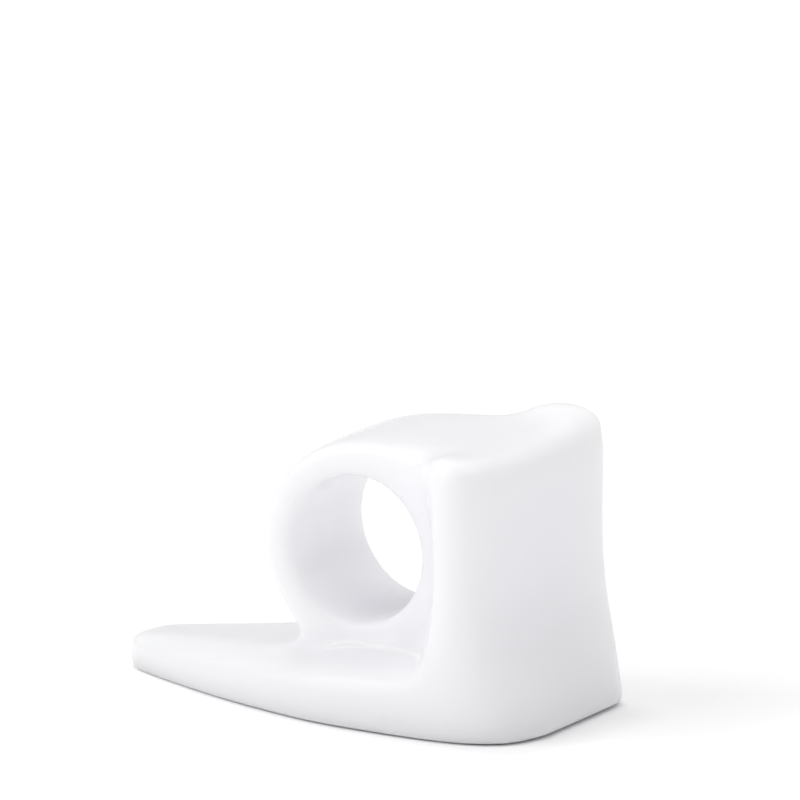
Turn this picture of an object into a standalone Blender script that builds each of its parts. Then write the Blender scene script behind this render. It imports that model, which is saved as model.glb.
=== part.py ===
"""Toe separator: one moulding of soft clear-white gel.

A flat tongue (the plate) carries a round toe loop and a tall wedge block at its wide end. The whole is
one coarse cage of quads, smoothed by Subdivision Surface. Seen from the side (X and Z) the cage is a
pattern of cells: a ring of cells round the loop's bore, a block of cells beside it, and two rows of
cells for the plate. The pattern runs through eight layers in Y, from the plate's curved near edge to
its straight far edge, and each kind of cell fills only the layers between which the real form is solid.

Frame: X runs along the plate, from its round tip to the block's outer face. Y runs along the bore. Z is
up from the plate's flat outer face, on which the part lies. The origin is the middle of that face. While
the cage is laid out, X is 0 at the foot of the block's outer face.
"""
import math
from collections import namedtuple

import bpy
from mathutils import Vector

MM = 0.001

# Plate, in millimetres
PLATE_LENGTH = 48.9
PLATE_WIDTH = 20.6
TIP_RADIUS = 2.95
TIP_OFFSET = 5.55           # from the plate's middle line to the tip's centre, towards the straight edge
TIP_ARC = 140.0             # degrees of the tip's circle that make the plate's end
TIP_NEAR_SHARE = 0.6        # how far across the tip's radius the curved edge meets it
NEAR_CORNER_RADIUS = 5.3
FAR_CORNER_RADIUS = 2.9
NEAR_EDGE_POWER = 1.92      # how late the curved edge turns in towards the tip
NEAR_EDGE_START = 7.4       # from the block's outer face to where that turn begins
TIP_THICKNESS = 3.0
PLATE_THICKNESS = 7.4       # under the wedge block
FULL_THICKNESS_SETBACK = 8.0
FOOT_ROUNDING = 1.0         # up the side wall, round the flat outer face
NEAR_EDGE_SHARE = 0.68      # thickness left at the two long edges, as a share of the plate's own
FAR_EDGE_SHARE = 0.74
EDGE_EASING = 0.62          # how much of that thinning is gone at the layer next to each long edge
EDGE_WIDTH = 2.2            # of the rounded strip along the near edge
NEAR_MARGIN = 2.5           # least width of plate outside the loop's near face
FAR_MARGIN = 1.3            # and outside its far face

# Toe loop
LOOP_SETBACK = 20.0         # from the block's outer face to the bore's axis
LOOP_AXIS_HEIGHT = 14.8
BORE_RADIUS = 6.5
LOOP_RADIUS = 9.65
LOOP_WIDTH = 13.5
LOOP_INSET = 6.4            # from the plate's near edge to the loop's near face
NEAR_LIP_FLARE = 0.1
FAR_LIP_FLARE = 0.5
RIM_ROUNDING = 0.4
LIP_DEPTH = 1.4             # how far the lips and rims reach into the loop's width
LOOP_FOOT_SHARE = 0.47      # from the axis to where the loop leaves the plate, as a share of its radius
WEB_SHARE = 0.68            # from the axis to the web's top beside the block, as a share of that radius
WEB_SWELL = 1.3             # how far the web beside the block stands proud of the loop's near face

# Wedge block
BLOCK_HEIGHT = 26.2         # at its far end, where it is tallest
MIDDLE_HEIGHT = 24.6
NEAR_HEIGHT = 24.8
BLOCK_WIDTH = 20.0          # in Y
NEAR_END_SETBACK = 9.4      # from the outer face's foot to the near end, which lies beside the loop
NEAR_END_THICKNESS = 3.3
NEAR_END_TOE = 1.3          # how far in front of the near end its own foot starts, on the plate's top
BLOCK_HOLLOW = 4.0          # how deep the outer face is hollowed at half its height
BLOCK_ROOT_SETBACK = 6.0    # from the outer face's foot to the middle of the block's own foot
FACE_ROUNDING = 3.4         # from the outer face inwards, to the row of cells that holds its edges
SHOULDER_WIDTH = 1.7        # from each end of the block to the layer that holds its rounding
FAR_SHOULDER_DEPTH = 3.4    # from the far end to the layer behind that one
FAR_SHOULDER_SETBACK = 10.7
FAR_END_SETBACK = 9.8
TOP_END_DROP = 0.8          # of the top's far end, on the loop's side
NEAR_TOP_DROP = 0.5         # of the top's near end
NEAR_CROWN = 0.6            # how far the middle of the near end stands proud of its edges
FAR_CROWN = 0.3             # the same at the far end
NEAR_EDGE_DROP = 0.6        # how far the outer face's top edge is drawn in, at its near end
FAR_EDGE_DROP = 1.1
FLARE_SHARE = 0.5           # how far the block has spread to the plate's outline at the plate's top
FLARE_HEIGHT = 5.6          # the height of that place

GEL_COLOUR = (0.90, 0.905, 0.93, 1.0)
GEL_ROUGHNESS = 0.3

# The eight layers in Y
NEAR_EDGE, NEAR_SHOULDER, LOOP_FACE, LOOP_LIP, FAR_LIP, FAR_FACE, FAR_SHOULDER, FAR_EDGE = range(8)
LAYERS = range(8)
LOOP_LAYERS = (LOOP_FACE, LOOP_LIP, FAR_LIP, FAR_FACE)

# The plate's stations, from the tip to the block's outer face
TIP, TIP_ROOT, TONGUE, LOOP_FOOT, LOOP_MIDDLE, LOOP_TOE, BLOCK_ROOT, BLOCK_FACE = range(8)
STATIONS = range(8)

LOOP_SEGMENTS = 12
TURN = 2 * math.pi / LOOP_SEGMENTS

# A smoothed circle of this many points lies inside its cage by this share of its radius
CIRCLE_GROWTH = 3 / (2 + math.cos(TURN))

# The loop's points 8, 9 and 10 are points of the plate's top, at these stations
LOOP_ON_PLATE = {8: LOOP_FOOT, 9: LOOP_MIDDLE, 10: LOOP_TOE}

# How far across the tongue each layer lies, as a share of its width there
TONGUE_SHARES = (0.0, 0.13, 0.30, 0.45, 0.72, 0.88, 0.95, 1.0)

# The block's rows, top down. height is a share of the block's height in each layer, near and far are
# shares of half its width, end is a share of the near end's thickness, hollow and far_hollow are shares
# of the hollow's depth in the face's middle and at its far end, and beside is the loop's point there.
BlockRow = namedtuple("BlockRow", "height near far end hollow far_hollow beside")
BLOCK_ROWS = (
    BlockRow(height=1.00, near=0.78, far=1.24, end=1.0, hollow=1.00, far_hollow=0.58, beside=2),
    BlockRow(height=0.88, near=0.85, far=1.16, end=1.0, hollow=0.98, far_hollow=0.62, beside=1),
    BlockRow(height=0.54, near=0.88, far=1.03, end=1.0, hollow=0.95, far_hollow=0.62, beside=0),
    BlockRow(height=0.33, near=0.98, far=1.01, end=1.2, hollow=0.72, far_hollow=0.45, beside=11),
)
TOP_ROW = BLOCK_ROWS[0]

# How high each layer of the block's top lies between its middle height and its full height
TOP_SHARES = {
    LOOP_FACE: 0.0,
    LOOP_LIP: 0.0,
    FAR_LIP: 0.15,
    FAR_FACE: 0.5,
    FAR_SHOULDER: 0.9,
    FAR_EDGE: 1.0,
}

# How much of the middle hollow each layer of the outer face takes, the rest being that of its own end
HOLLOW_SHARES = (0.0, 0.42, 0.80, 1.0, 0.95, 0.70, 0.30, 0.0)


def half_width():
    return PLATE_WIDTH / 2


def mix(start, end, share):
    return start + (end - start) * share


def near_edge_y(x):
    """The curved edge: straight beside the block, then turning in towards the tip."""
    run = (-NEAR_EDGE_START - x) / (PLATE_LENGTH - NEAR_EDGE_START)
    share = min(max(run, 0.0), 1.0) ** NEAR_EDGE_POWER
    return mix(-half_width(), TIP_OFFSET - TIP_NEAR_SHARE * TIP_RADIUS, share)


def far_edge_y(x):
    """The straight edge, which runs at a slight angle to the side of the tip's circle."""
    share = min(max(-x / (PLATE_LENGTH - TIP_RADIUS), 0.0), 1.0)
    return mix(half_width(), TIP_OFFSET + TIP_RADIUS, share)


def loop_near_y():
    return LOOP_INSET - half_width()


def loop_layer_y(layer):
    """The loop's own four layers: its two faces, and the two layers that hold their lips."""
    near, far = loop_near_y(), loop_near_y() + LOOP_WIDTH
    return {LOOP_FACE: near, LOOP_LIP: near + LIP_DEPTH, FAR_LIP: far - LIP_DEPTH, FAR_FACE: far}[layer]


def rim_rounding(layer):
    return RIM_ROUNDING if layer in (LOOP_FACE, FAR_FACE) else 0.0


def loop_circle(point, radius):
    """X and Z of one of the loop's points on a circle about the bore's axis, grown for the smoothing."""
    reach, angle = radius * CIRCLE_GROWTH, point * TURN
    return (reach * math.cos(angle) - LOOP_SETBACK, reach * math.sin(angle) + LOOP_AXIS_HEIGHT)


def station_x(station):
    foot = LOOP_RADIUS * LOOP_FOOT_SHARE
    root = TIP_RADIUS - PLATE_LENGTH
    return {
        TIP: -PLATE_LENGTH,
        TIP_ROOT: root,
        TONGUE: mix(root, -LOOP_SETBACK - foot, 0.5),
        LOOP_FOOT: -LOOP_SETBACK - foot,
        LOOP_MIDDLE: -LOOP_SETBACK,
        LOOP_TOE: -LOOP_SETBACK + foot,
        BLOCK_ROOT: -BLOCK_ROOT_SETBACK,
        BLOCK_FACE: 0.0,
    }[station]


def tip_plan(layer):
    """The tip's end is an arc of its circle."""
    angle = math.pi + math.radians(TIP_ARC) * (0.5 - TONGUE_SHARES[layer])
    centre_x = TIP_RADIUS - PLATE_LENGTH
    return (centre_x + TIP_RADIUS * math.cos(angle), TIP_OFFSET + TIP_RADIUS * math.sin(angle))


def block_face_plan(layer):
    """The wide end is straight, between a large near corner and a small far one."""
    near_start = NEAR_CORNER_RADIUS - half_width()
    far_start = half_width() - FAR_CORNER_RADIUS
    inner_near = max(loop_near_y(), near_start + SHOULDER_WIDTH / 2)
    inner_far = far_start - SHOULDER_WIDTH
    corner = 1 - math.sqrt(0.5)
    y = (
        corner * NEAR_CORNER_RADIUS - half_width(),
        near_start,
        inner_near,
        mix(inner_near, inner_far, 1 / 3),
        mix(inner_near, inner_far, 2 / 3),
        inner_far,
        far_start,
        half_width() - corner * FAR_CORNER_RADIUS,
    )[layer]
    x = {NEAR_EDGE: -corner * NEAR_CORNER_RADIUS, FAR_EDGE: -corner * FAR_CORNER_RADIUS}.get(layer, 0.0)
    return (x, y)


def plate_plan(station, layer):
    """X and Y of the plate's column of points at a station and a layer."""
    if station == TIP:
        return tip_plan(layer)
    if station == BLOCK_FACE:
        return block_face_plan(layer)
    x = station_x(station)
    if station == LOOP_TOE and layer <= NEAR_SHOULDER:
        x = -NEAR_END_SETBACK - NEAR_END_TOE
    near, far = near_edge_y(x), far_edge_y(x)
    if station < LOOP_FOOT:
        return (x, mix(near, far, TONGUE_SHARES[layer]))
    if station == BLOCK_ROOT and layer == NEAR_EDGE:
        return (-NEAR_CORNER_RADIUS, near)
    if station == BLOCK_ROOT and layer == FAR_EDGE:
        return (-FAR_CORNER_RADIUS, far)
    loop_near = max(loop_near_y(), near + NEAR_MARGIN)
    loop_far = min(loop_layer_y(FAR_FACE), far - FAR_MARGIN)
    y = (
        near,
        min(mix(near, loop_near, 0.5), near + EDGE_WIDTH),
        loop_near,
        loop_near + LIP_DEPTH,
        loop_layer_y(FAR_LIP),
        loop_far,
        mix(loop_far, far, 0.5),
        far,
    )[layer]
    return (x, y)


def plate_top_z(station, layer):
    """The plate thickens evenly from the tip to the block, and thins to its two rounded long edges."""
    if station in (BLOCK_ROOT, BLOCK_FACE):
        return FLARE_HEIGHT
    share = (station_x(station) + PLATE_LENGTH) / (PLATE_LENGTH - FULL_THICKNESS_SETBACK)
    thickness = mix(TIP_THICKNESS, PLATE_THICKNESS, min(share, 1.0))
    edge = {
        NEAR_EDGE: NEAR_EDGE_SHARE,
        NEAR_SHOULDER: mix(NEAR_EDGE_SHARE, 1.0, EDGE_EASING),
        FAR_SHOULDER: mix(FAR_EDGE_SHARE, 1.0, EDGE_EASING),
        FAR_EDGE: FAR_EDGE_SHARE,
    }.get(layer, 1.0)
    return thickness * edge


def plate_points():
    """Each plate column has a point on the flat face, one at the foot's rounding and one on top."""
    points = {}
    for station in STATIONS:
        for layer in LAYERS:
            x, y = plate_plan(station, layer)
            points["base", station, layer] = (x, y, 0.0)
            points["foot", station, layer] = (x, y, FOOT_ROUNDING)
            points["plate", station, layer] = (x, y, plate_top_z(station, layer))
    return points


def flare_points(points):
    """Under the block the plate's top lies between the plate's outline and the block's lowest row."""
    lowest = len(BLOCK_ROWS) - 1
    flared = {}
    for station, column in ((BLOCK_ROOT, "inner"), (BLOCK_FACE, "face")):
        for layer in LAYERS:
            foot_x, foot_y, foot_z = points["plate", station, layer]
            block_x, block_y = points[column, lowest, layer][:2]
            x = mix(foot_x, block_x, FLARE_SHARE)
            y = mix(foot_y, block_y, FLARE_SHARE)
            flared["plate", station, layer] = (x, y, foot_z)
    return flared


def loop_points():
    """The bore and the loop's free outside, drawn in at the two faces to round lips and rims."""
    points = {}
    for layer in LOOP_LAYERS:
        bore = BORE_RADIUS + {LOOP_FACE: NEAR_LIP_FLARE, FAR_FACE: FAR_LIP_FLARE}.get(layer, 0.0)
        outside = LOOP_RADIUS - rim_rounding(layer)
        for point in range(LOOP_SEGMENTS):
            x, z = loop_circle(point, bore)
            points["bore", point, layer] = (x, loop_layer_y(layer), z)
            if 3 <= point <= 7:
                x, z = loop_circle(point, outside)
                points["loop", point, layer] = (x, loop_layer_y(layer), z)
    return points


def block_row_z(row, layer):
    if layer in TOP_SHARES:
        return row.height * mix(MIDDLE_HEIGHT, BLOCK_HEIGHT, TOP_SHARES[layer])
    return row.height * NEAR_HEIGHT - (NEAR_TOP_DROP if row is TOP_ROW and layer == NEAR_EDGE else 0.0)


def block_ends_y(row):
    return -row.near * BLOCK_WIDTH / 2, row.far * BLOCK_WIDTH / 2


def block_face_y(row, layer):
    """The outer face's layers are spread evenly between its two shoulders."""
    near, far = block_ends_y(row)
    if layer == NEAR_EDGE:
        return near
    if layer == FAR_SHOULDER:
        return far - SHOULDER_WIDTH
    if layer == FAR_EDGE:
        return far
    share = (layer - NEAR_SHOULDER) / (FAR_FACE - NEAR_SHOULDER)
    return mix(near + SHOULDER_WIDTH, far - FAR_SHOULDER_DEPTH, share)


def block_side_y(row, layer):
    """Beside the loop the layers are the loop's own, and the web's near side swells a little."""
    if layer in LOOP_LAYERS:
        return loop_layer_y(layer) - (WEB_SWELL if layer == LOOP_FACE else 0.0)
    near, far = block_ends_y(row)
    return {
        NEAR_EDGE: near,
        NEAR_SHOULDER: near + SHOULDER_WIDTH,
        FAR_SHOULDER: mix(loop_layer_y(FAR_FACE), far, 0.5),
        FAR_EDGE: far,
    }[layer]


def block_face_x(row, layer):
    """The outer face: hollow in the middle, and swept back to the thin near end beside the loop."""
    middle = -row.hollow * BLOCK_HOLLOW
    if layer <= LOOP_LIP:
        end = row.end * NEAR_END_THICKNESS - NEAR_END_SETBACK
    else:
        end = -row.far_hollow * BLOCK_HOLLOW
    return mix(end, middle, HOLLOW_SHARES[layer])


def block_loop_side(row, layer):
    """X, Y and Z of the block's side towards the loop, which is the loop's own outside in its layers."""
    z = block_row_z(row, layer)
    y = block_side_y(row, layer)
    top = row is TOP_ROW
    circle_x, circle_z = loop_circle(row.beside, LOOP_RADIUS)
    start = WEB_SHARE * LOOP_RADIUS - LOOP_SETBACK if top else circle_x
    if layer in LOOP_LAYERS:
        return (start, y, z - rim_rounding(layer) if top else circle_z)
    if layer == FAR_SHOULDER:
        return (-FAR_SHOULDER_SETBACK, y, z)
    if layer == FAR_EDGE:
        return (-FAR_END_SETBACK, y, z - (TOP_END_DROP if top else 0.0))
    if layer == NEAR_SHOULDER:
        return (mix(start, -NEAR_END_SETBACK, 0.5), y, z)
    return (-NEAR_END_SETBACK, y + NEAR_CROWN, z)


def block_points():
    """Each row of the block has a point beside the loop, one inside the rounding and one on the face."""
    points = {}
    for index, row in enumerate(BLOCK_ROWS):
        for layer in LAYERS:
            drop = mix(NEAR_EDGE_DROP, FAR_EDGE_DROP, layer / FAR_EDGE) if row is TOP_ROW else 0.0
            z = block_row_z(row, layer)
            side = block_loop_side(row, layer)
            face_x, face_y = block_face_x(row, layer), block_face_y(row, layer)
            inner_x = mix(side[0], face_x, 0.5)
            if layer > NEAR_SHOULDER:
                inner_x = max(inner_x, face_x - FACE_ROUNDING)
            crown = {NEAR_EDGE: NEAR_CROWN, FAR_EDGE: -FAR_CROWN}.get(layer, 0.0)
            points["side", index, layer] = side
            inner_y = mix(block_side_y(row, layer), face_y, 0.5)
            points["inner", index, layer] = (inner_x, inner_y, z)
            points["face", index, layer] = (face_x - drop, face_y + crown, z - drop)
    return points


def loop_outside(point):
    """The name of the loop's outside point: its own, the block's side, or the plate's top."""
    point %= LOOP_SEGMENTS
    if point in LOOP_ON_PLATE:
        return ("plate", LOOP_ON_PLATE[point])
    for index, row in enumerate(BLOCK_ROWS):
        if row.beside == point:
            return ("side", index)
    return ("loop", point)


def cells():
    """Each cell of the side pattern, with the gaps between layers that it fills."""
    loop_gaps = range(LOOP_FACE, FAR_FACE)
    all_gaps = range(NEAR_EDGE, FAR_EDGE)
    for point in range(LOOP_SEGMENTS):
        following = (point + 1) % LOOP_SEGMENTS
        bore = ("bore", point), ("bore", following)
        yield bore + (loop_outside(following), loop_outside(point)), loop_gaps
    side = [("side", index) for index in range(len(BLOCK_ROWS))] + [("plate", LOOP_TOE)]
    inner = [("inner", index) for index in range(len(BLOCK_ROWS))] + [("plate", BLOCK_ROOT)]
    face = [("face", index) for index in range(len(BLOCK_ROWS))] + [("plate", BLOCK_FACE)]
    for outer, behind in ((inner, side), (face, inner)):
        for row in range(len(BLOCK_ROWS)):
            yield (outer[row], outer[row + 1], behind[row + 1], behind[row]), all_gaps
    for upper, lower in (("plate", "foot"), ("foot", "base")):
        for station in range(TIP, BLOCK_FACE):
            corners = (upper, station), (upper, station + 1), (lower, station + 1), (lower, station)
            yield corners, all_gaps


def cage_faces():
    """The faces that belong to only one cell, which are the skin of all the cells together."""
    skin = {}
    for corners, gaps in cells():
        for gap in gaps:
            near = [corner + (gap,) for corner in corners]
            far = [corner + (gap + 1,) for corner in corners]
            faces = [near[::-1], far]
            for index in range(4):
                following = (index + 1) % 4
                faces.append([near[index], near[following], far[following], far[index]])
            for face in faces:
                key = frozenset(face)
                if key in skin:
                    del skin[key]
                else:
                    skin[key] = face
    return list(skin.values())


def gel_material():
    material = bpy.data.materials.new("gel")
    material.use_nodes = True
    shader = material.node_tree.nodes["Principled BSDF"]
    shader.inputs["Base Color"].default_value = GEL_COLOUR
    shader.inputs["Roughness"].default_value = GEL_ROUGHNESS
    shader.inputs["Metallic"].default_value = 0.0
    return material


def build_separator(collection):
    points = {**plate_points(), **loop_points(), **block_points()}
    points.update(flare_points(points))
    faces = cage_faces()
    names = sorted({name for face in faces for name in face})
    index_of = {name: index for index, name in enumerate(names)}
    middle = Vector((-PLATE_LENGTH / 2, 0.0, 0.0))
    vertices = [(Vector(points[name]) - middle) * MM for name in names]
    mesh = bpy.data.meshes.new("gel_separator")
    mesh.from_pydata(vertices, [], [[index_of[name] for name in face] for face in faces])
    mesh.materials.append(gel_material())
    mesh.shade_smooth()
    separator = bpy.data.objects.new("gel_separator", mesh)
    collection.objects.link(separator)
    smoothing = separator.modifiers.new("smoothed gel", "SUBSURF")
    smoothing.levels = 2
    smoothing.render_levels = 2


def clear_scene():
    for old in list(bpy.data.objects):
        bpy.data.objects.remove(old, do_unlink=True)


def main():
    clear_scene()
    collection = bpy.data.collections.new("toe_separator")
    bpy.context.scene.collection.children.link(collection)
    build_separator(collection)


main()
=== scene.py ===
"""Toe separator: one moulding of soft, clear-white gel, lying on a pale table."""
import math

import bpy
from mathutils import Matrix, Vector


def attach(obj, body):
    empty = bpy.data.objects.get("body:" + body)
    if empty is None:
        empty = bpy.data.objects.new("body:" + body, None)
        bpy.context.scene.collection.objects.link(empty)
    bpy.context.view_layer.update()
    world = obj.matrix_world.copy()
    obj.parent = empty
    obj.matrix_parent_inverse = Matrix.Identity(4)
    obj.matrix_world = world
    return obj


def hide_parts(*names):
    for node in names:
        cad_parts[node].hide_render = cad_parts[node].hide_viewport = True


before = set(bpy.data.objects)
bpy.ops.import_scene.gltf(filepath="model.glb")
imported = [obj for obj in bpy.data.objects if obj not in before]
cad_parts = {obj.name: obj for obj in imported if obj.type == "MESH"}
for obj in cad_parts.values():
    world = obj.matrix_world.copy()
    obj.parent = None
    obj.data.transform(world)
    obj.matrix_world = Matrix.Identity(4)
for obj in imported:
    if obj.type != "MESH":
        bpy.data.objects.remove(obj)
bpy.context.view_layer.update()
bpy.ops.object.select_all(action="DESELECT")


# The gel moulding. It is poured in one mould from soft silicone gel, so the plate, the toe loop, the
# webs and the wedge block run into each other with no seam. Its skin is the mould's own satin finish.
# Places and lengths on it are in millimetres, on the frame's axes, unless a comment says otherwise.

MM = 0.001
MERGE_DISTANCE = 0.001 * MM             # in metres
PAIRING_ANGLE = math.radians(60)        # the most by which two triangles of one quad may differ
SKIN_LEVELS = 2

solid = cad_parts["gel_separator"]
moulding = bpy.data.objects.new("gel_moulding", solid.data.copy())
bpy.context.scene.collection.objects.link(moulding)
bpy.context.view_layer.objects.active = moulding
moulding.select_set(True)

# The solid's loose triangles are merged, paired into quads and smoothed as one skin
bpy.ops.object.mode_set(mode="EDIT")
bpy.ops.mesh.select_all(action="SELECT")
bpy.ops.mesh.remove_doubles(threshold=MERGE_DISTANCE)
bpy.ops.mesh.tris_convert_to_quads(face_threshold=PAIRING_ANGLE, shape_threshold=PAIRING_ANGLE)
bpy.ops.mesh.select_mode(type="FACE")
bpy.ops.mesh.select_all(action="DESELECT")
bpy.ops.object.mode_set(mode="OBJECT")
refining = moulding.modifiers.new("refined skin", "SUBSURF")
refining.levels = SKIN_LEVELS
refining.render_levels = SKIN_LEVELS
bpy.ops.object.modifier_apply(modifier=refining.name)
bpy.ops.object.shade_smooth()


def soft_step(value, low, high):
    """0 below low, 1 above high, and a smooth rise between them."""
    share = min(max((value - low) / (high - low), 0.0), 1.0)
    return share * share * (3.0 - 2.0 * share)


def relax(name, weight, rounds):
    """Smooths the skin where weight, a function of a place, is above 0."""
    group = moulding.vertex_groups.new(name=name)
    for vertex in moulding.data.vertices:
        share = weight(vertex.co / MM)
        if share > 0.0:
            group.add([vertex.index], share, "REPLACE")
    smoothing = moulding.modifiers.new(name, "SMOOTH")
    smoothing.vertex_group = group.name
    smoothing.factor = 0.5
    smoothing.iterations = rounds
    bpy.ops.object.modifier_apply(modifier=smoothing.name)
    moulding.vertex_groups.clear()


# The valley between the loop's near face and the block's near end. Each pair of lengths is where its
# weight starts to change and where that change ends.
BORE_AXIS_X, BORE_AXIS_Z = 4.45, 14.8
VALLEY_PAST_LIP = (7.4, 8.6)            # from the bore's axis, so that the bore's lip keeps its shape
VALLEY_BLOCK_SIDE = (14.3, 15.6)        # in X
VALLEY_LOOP_SIDE = (9.0, 11.0)          # in X
VALLEY_FOOT = (8.0, 10.0)               # in Z
VALLEY_BACK = (-3.2, -2.2)              # in Y


def near_valley(place):
    from_bore = math.hypot(place.x - BORE_AXIS_X, place.z - BORE_AXIS_Z)
    across = soft_step(from_bore, *VALLEY_PAST_LIP) * (1.0 - soft_step(place.x, *VALLEY_BLOCK_SIDE))
    along = soft_step(place.z, *VALLEY_FOOT) * soft_step(place.x, *VALLEY_LOOP_SIDE)
    return across * along * (1.0 - soft_step(place.y, *VALLEY_BACK))


def around(centre, inner, outer):
    """A weight that is 1 up to inner away from a place, and 0 from outer on."""
    return lambda place: 1.0 - soft_step((place - Vector(centre)).length, inner, outer)


# The top corner of the block's near end is round and sinks gently to the web. The far foot is the
# pinch where the loop's far face comes down on the plate.
near_corner = around((15.5, -6.6, 25.0), inner=1.8, outer=4.6)
far_foot = around((-1.5, 9.0, 6.0), inner=1.6, outer=3.4)

relax("near valley", near_valley, rounds=120)
relax("near corner", near_corner, rounds=80)
relax("far foot", far_foot, rounds=40)

# The mould's parting bead: a fine raised line along the foot of the loop's near face. It climbs a
# little towards the block and dips at its free end.
BEAD_START, BEAD_END = 0.9, 13.6        # in X
BEAD_FADE = 1.2                         # the length over which each of its ends dies away
BEAD_HEIGHT, BEAD_HALF_WIDTH = 0.14, 0.16
BEAD_LEVEL = 6.6                        # its Z at BEAD_LEVEL_X
BEAD_LEVEL_X = 4.9
BEAD_SLOPE, BEAD_DIP = 0.035, 0.052     # the climb past BEAD_LEVEL_X, and the curve of the dip before it
NEAR_SIDE_Y = -3.5                      # the bead lies in front of this
FACING_NEAR = -0.2                      # the most that its skin's normal may have in Y

# The strip of skin that holds the bead is cut finer, because the bead is narrower than its faces
STRIP_HALF_WIDTH, STRIP_MARGIN = 0.5, 0.3
STRIP_CUTS = 3


def above_bead(place):
    """How far above the bead's line a place on the skin lies."""
    along = place.x - BEAD_LEVEL_X
    return place.z - (BEAD_LEVEL + BEAD_SLOPE * max(along, 0.0) - BEAD_DIP * min(along, 0.0) ** 2)


def on_near_side(place, normal):
    return place.y < NEAR_SIDE_Y and normal.y < FACING_NEAR


def bead_share(place, normal):
    """1 on the bead's line and 0 away from it."""
    if not on_near_side(place, normal):
        return 0.0
    start = soft_step(place.x, BEAD_START, BEAD_START + BEAD_FADE)
    end = soft_step(place.x, BEAD_END - BEAD_FADE, BEAD_END)
    return start * (1.0 - end) * math.exp(-(above_bead(place) / BEAD_HALF_WIDTH) ** 2)


for face in moulding.data.polygons:
    middle = face.center / MM
    past_start, before_end = middle.x > BEAD_START - STRIP_MARGIN, middle.x < BEAD_END + STRIP_MARGIN
    in_strip = abs(above_bead(middle)) < STRIP_HALF_WIDTH and past_start and before_end
    face.select = in_strip and on_near_side(middle, face.normal)
bpy.ops.object.mode_set(mode="EDIT")
bpy.ops.mesh.subdivide(number_cuts=STRIP_CUTS, smoothness=1.0)
bpy.ops.mesh.select_all(action="DESELECT")
bpy.ops.object.mode_set(mode="OBJECT")

shares = [bead_share(vertex.co / MM, vertex.normal) for vertex in moulding.data.vertices]
normals = [vertex.normal.copy() for vertex in moulding.data.vertices]
# The bead's share is also kept as an attribute, which paints the bead a lighter colour: a painted highlight
# along its line.
bead = moulding.data.attributes.new("bead_painted_highlight", "FLOAT", "POINT")
bead.data.foreach_set("value", shares)
for vertex, share, normal in zip(moulding.data.vertices, shares, normals):
    vertex.co += BEAD_HEIGHT * share * MM * normal


def linear(colour):
    """A colour's sRGB hex value as the linear one that a shader takes."""
    channels = [int(colour[place:place + 2], 16) / 255 for place in (1, 3, 5)]
    return tuple(c / 12.92 if c <= 0.04045 else ((c + 0.055) / 1.055) ** 2.4 for c in channels) + (1.0,)


def add_node(tree, kind, links=None, **settings):
    """Adds one node. Its inputs take their values from settings by their names, and their links from links."""
    node = tree.nodes.new(kind)
    for name, value in settings.items():
        label = name.replace("_", " ")
        if label in node.inputs:
            node.inputs[label].default_value = value
        else:
            setattr(node, name, value)
    for name, source in (links or {}).items():
        tree.links.new(source, node.inputs[name])
    return node


# Soft silicone gel, moulded against a finely blasted steel mould: milky, with light that goes a few
# millimetres into it, and a satin skin whose highlights are broad. The bead is painted a shade lighter: a
# painted highlight.
GEL_COLOUR, BEAD_HIGHLIGHT_COLOUR = "#f2f2f6", "#fafaff"
LIGHT_REACH = 6.0                       # how far light goes into the gel
BLAST_GRAIN = 0.6                       # drawn much coarser than real blasting, so that it shows
BLAST_DEPTH = 0.05

gel = bpy.data.materials.new("moulded_silicone_gel")
gel.use_nodes = True
tree = gel.node_tree
skin = tree.nodes["Principled BSDF"]
skin.inputs["Roughness"].default_value = 0.27
skin.inputs["IOR"].default_value = 1.41
skin.inputs["Subsurface Weight"].default_value = 0.85
skin.inputs["Subsurface Radius"].default_value = (1.0, 1.0, 1.0)
skin.inputs["Subsurface Scale"].default_value = LIGHT_REACH * MM
# Along the bead the base colour is mixed towards a lighter one: a painted highlight, not the gel's own colour.
bead_highlight = add_node(tree, "ShaderNodeAttribute", attribute_name="bead_painted_highlight")
colour = add_node(tree, "ShaderNodeMix", {"Factor": bead_highlight.outputs["Fac"]}, data_type="RGBA")
colour.inputs["A"].default_value = linear(GEL_COLOUR)
colour.inputs["B"].default_value = linear(BEAD_HIGHLIGHT_COLOUR)
tree.links.new(colour.outputs["Result"], skin.inputs["Base Color"])
place = add_node(tree, "ShaderNodeTexCoord")
grain = add_node(
    tree, "ShaderNodeTexNoise", {"Vector": place.outputs["Object"]},
    Scale=1 / (BLAST_GRAIN * MM), Detail=3.0,
)
relief = add_node(
    tree, "ShaderNodeBump", {"Height": grain.outputs["Fac"]},
    Strength=0.15, Distance=BLAST_DEPTH * MM,
)
tree.links.new(relief.outputs["Normal"], skin.inputs["Normal"])
moulding.data.materials.clear()
moulding.data.materials.append(gel)

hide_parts("gel_separator")
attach(moulding, "root")


# The table top: a plain white sheet of matt paper, wide enough that its edge is out of every view.
TABLE_SIZE = 40.0                       # in metres

bpy.ops.object.select_all(action="DESELECT")
bpy.ops.mesh.primitive_plane_add(size=TABLE_SIZE, location=(0.0, 0.0, 0.0))
table = bpy.context.active_object
table.name = "table_top"
paper = bpy.data.materials.new("white_paper")
paper.use_nodes = True
sheet = paper.node_tree.nodes["Principled BSDF"]
sheet.inputs["Base Color"].default_value = linear("#ffffff")
sheet.inputs["Roughness"].default_value = 0.9
sheet.inputs["Specular IOR Level"].default_value = 0.0
table.data.materials.append(paper)


# The light of a white photo tent: even light from all round, a broad lamp on the left and one overhead,
# two small ones for the bright spots on the rims, a soft one from behind and a faint one in front.
world = bpy.data.worlds.new("photo_tent")
world.use_nodes = True
world.node_tree.nodes["Background"].inputs["Color"].default_value = linear("#ffffff")
world.node_tree.nodes["Background"].inputs["Strength"].default_value = 0.47
bpy.context.scene.world = world


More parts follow.
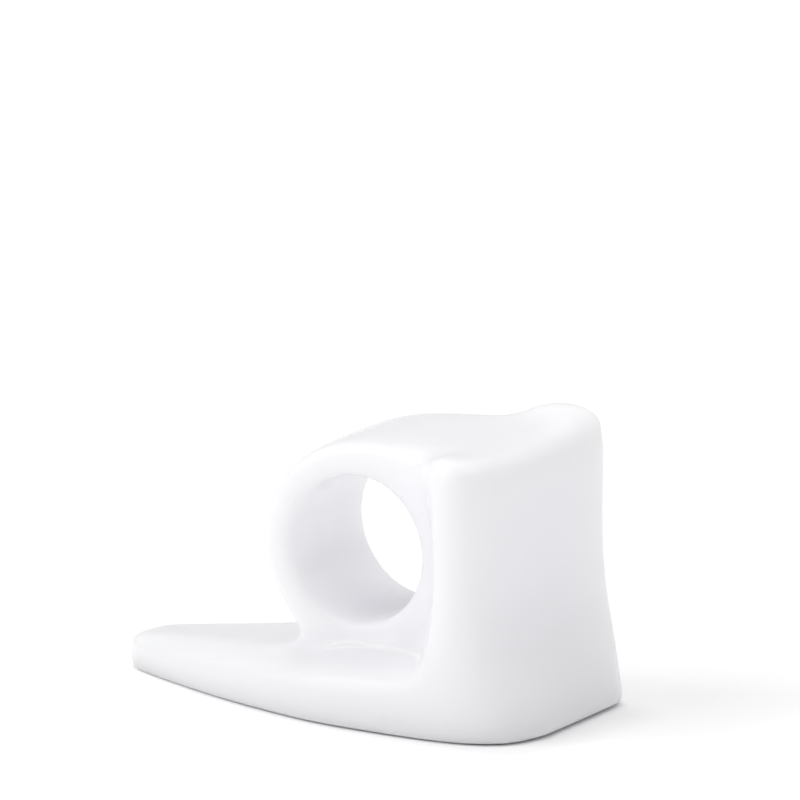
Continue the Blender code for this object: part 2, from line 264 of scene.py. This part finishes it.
def add_lamp(name, shines, strength, spread):
    """A lamp far away. It shines along one direction and is spread wide, in degrees."""
    lamp = bpy.data.objects.new(name, bpy.data.lights.new(name, "SUN"))
    lamp.data.energy = strength
    lamp.data.angle = math.radians(spread)
    lamp.rotation_euler = Vector(shines).to_track_quat("-Z", "Y").to_euler()
    bpy.context.scene.collection.objects.link(lamp)


add_lamp("soft_left_lamp", shines=(0.66, 0.50, -0.55), strength=0.65, spread=50.0)
add_lamp("small_left_lamp", shines=(0.64, 0.26, -0.72), strength=0.15, spread=9.0)
add_lamp("small_high_lamp", shines=(0.30, -0.20, -0.93), strength=0.25, spread=10.0)
add_lamp("soft_top_lamp", shines=(0.1, 0.1, -1.0), strength=0.85, spread=100.0)
add_lamp("back_lamp", shines=(-0.25, -0.75, -0.90), strength=0.38, spread=60.0)
add_lamp("front_lamp", shines=(-0.48, 0.83, -0.35), strength=0.08, spread=25.0)


# The camera looks a little down on the curved edge and the block's outer face, with a long lens. It
# aims past the middle of the part, up and to the right, so the part lies low in the picture.
TURN, RISE, LEAN = math.radians(31.6), math.radians(12.9), math.radians(2.2)
DISTANCE, VIEW_WIDTH = 1.7, 0.0699      # in metres
PART_MIDDLE = Vector((0.00645, 0.0, 0.014))
AIM_RIGHT, AIM_UP = 0.00033, 0.0133
SENSOR = 36.0

back = Vector((math.sin(TURN) * math.cos(RISE), -math.cos(TURN) * math.cos(RISE), math.sin(RISE)))
level_right = Vector((math.cos(TURN), math.sin(TURN), 0.0))
level_up = back.cross(level_right)
right = math.cos(LEAN) * level_right - math.sin(LEAN) * level_up
up = math.cos(LEAN) * level_up + math.sin(LEAN) * level_right
aim = PART_MIDDLE + AIM_RIGHT * right + AIM_UP * up
turned = Matrix((right, up, back)).transposed().to_4x4()
camera = bpy.data.objects.new("camera", bpy.data.cameras.new("camera"))
bpy.context.scene.collection.objects.link(camera)
camera.matrix_world = Matrix.Translation(aim + DISTANCE * back) @ turned
camera.data.sensor_width = SENSOR
camera.data.sensor_height = SENSOR
camera.data.lens = SENSOR * DISTANCE / VIEW_WIDTH
camera.data.clip_start = 0.05
camera.data.clip_end = 100.0
bpy.context.scene.camera = camera
bpy.context.scene.view_settings.view_transform = "Standard"
